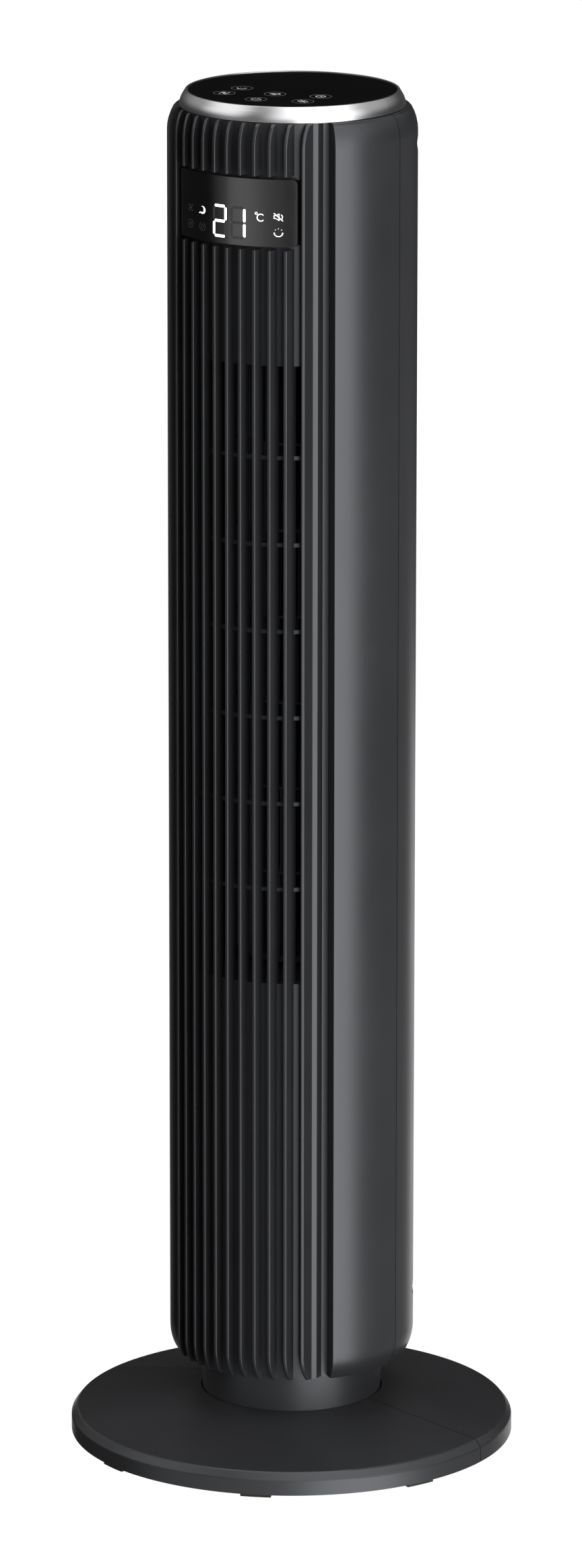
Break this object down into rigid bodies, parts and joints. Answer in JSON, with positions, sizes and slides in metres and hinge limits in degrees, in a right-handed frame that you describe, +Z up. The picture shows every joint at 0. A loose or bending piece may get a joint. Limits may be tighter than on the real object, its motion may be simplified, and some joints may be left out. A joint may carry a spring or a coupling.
{
  "type": "tower fan",
  "caption": "Slim oscillating tower fan with a finned front outlet, digital display, touch panel on top and a round two-part base.",
  "frame": {"origin": "on the floor, at the centre of the round base, under the tower's swing axis", "axes": "+Z up along the tower, -Y towards the front (air outlet and display), +X to the right seen from the front"},
  "size_m": [0.2984, 0.2984, 0.9195],
  "materials": {
    "body_plastic": "satin, fine moulded grain",
    "grille_plastic": "satin",
    "base_plastic": "satin, fine moulded grain",
    "ring_metal": "satin",
    "panel_gloss": "high gloss",
    "lens_gloss": "high gloss, smoked",
    "inner_plastic": "matt",
    "impeller_plastic": "matt",
    "nylon": "natural, slightly glossy",
    "rubber": "matt",
    "steel": "ground",
    "screw_steel": "zinc plated",
    "motor_can_steel": "zinc plated",
    "lamination": "stacked sheet",
    "copper": "enamelled winding",
    "magnet": "dark",
    "sintered_bronze": "porous",
    "circuit_board": "solder mask",
    "board_parts": "moulded",
    "led_blocks": "translucent white",
    "cable_sheath": "smooth"
  },
  "bodies": {
    "base": {"base_front_half": "base_plastic", "base_rear_half": "base_plastic", "base_joining_screws": "screw_steel", "rubber_feet": "rubber", "cord_gland": "rubber", "neck_column": "base_plastic", "lock_nut": "inner_plastic", "hub_bush": "nylon", "fixed_gear": "nylon", "fixed_gear_screws": "screw_steel", "lower_race": "steel"},
    "ball_cage": {"bearing_cage": "nylon", "bearing_balls": "steel"},
    "pinion": {"drive_pinion": "nylon", "drive_shaft": "steel"},
    "impeller": {"impeller_segments": "impeller_plastic", "impeller_hub_disc": "impeller_plastic", "hub_grub_screw": "screw_steel", "impeller_end_disc": "impeller_plastic", "stub_shaft": "steel", "motor_rotor": "magnet", "motor_shaft": "steel"},
    "tower": {"upper_race": "steel", "turntable": "inner_plastic", "retaining_washer": "nylon", "retaining_screws": "screw_steel", "oscillation_motor": "motor_can_steel", "front_shell": "body_plastic", "front_grille": "grille_plastic", "rear_shell": "body_plastic", "rear_grille": "grille_plastic", "shell_screws": "screw_steel", "trim_ring": "ring_metal", "touch_panel": "panel_gloss", "top_deck": "inner_plastic", "touch_board": "circuit_board", "touch_pads": "rubber", "display_lens": "lens_gloss", "display_light_box": "inner_plastic", "display_board": "circuit_board", "display_leds": "led_blocks", "cover_screws": "screw_steel", "frame_screws": "screw_steel", "scroll_wall": "inner_plastic", "vortex_wall": "inner_plastic", "lower_duct_plate": "inner_plastic", "upper_duct_plate": "inner_plastic", "top_bearing_seat": "rubber", "top_bearing_bush": "sintered_bronze", "motor_can": "motor_can_steel", "motor_bearings": "steel", "motor_stator": "lamination", "stator_coils": "copper", "motor_bracket": "motor_can_steel", "motor_mounts": "rubber", "motor_mount_screws": "screw_steel", "main_board": "circuit_board", "board_parts": "board_parts", "motor_lead": "cable_sheath", "display_cable": "cable_sheath"}
  },
  "joints": [
    {"name": "tower_swing", "type": "hinge", "parent": "base", "child": "tower", "pos_m": [0, 0, 0.07], "axis": [0, 0, 1], "range_deg": [-45, 45]},
    {"name": "cage_roll", "type": "hinge", "parent": "base", "child": "ball_cage", "pos_m": [0, 0, 0.0736], "axis": [0, 0, 1], "range_deg": [-22.5, 22.5]},
    {"name": "pinion_turn", "type": "hinge", "parent": "tower", "child": "pinion", "pos_m": [0, 0.036, 0.0736], "axis": [0, 0, 1], "range_deg": [-135, 135]},
    {"name": "impeller_spin", "type": "hinge", "parent": "tower", "child": "impeller", "pos_m": [0, 0.01, 0.5431], "axis": [0, 0, 1], "continuous": true}
  ],
  "couplings": [
    {"joint": "cage_roll", "follows": "tower_swing", "ratio": 0.5},
    {"joint": "pinion_turn", "follows": "tower_swing", "ratio": 3}
  ]
}
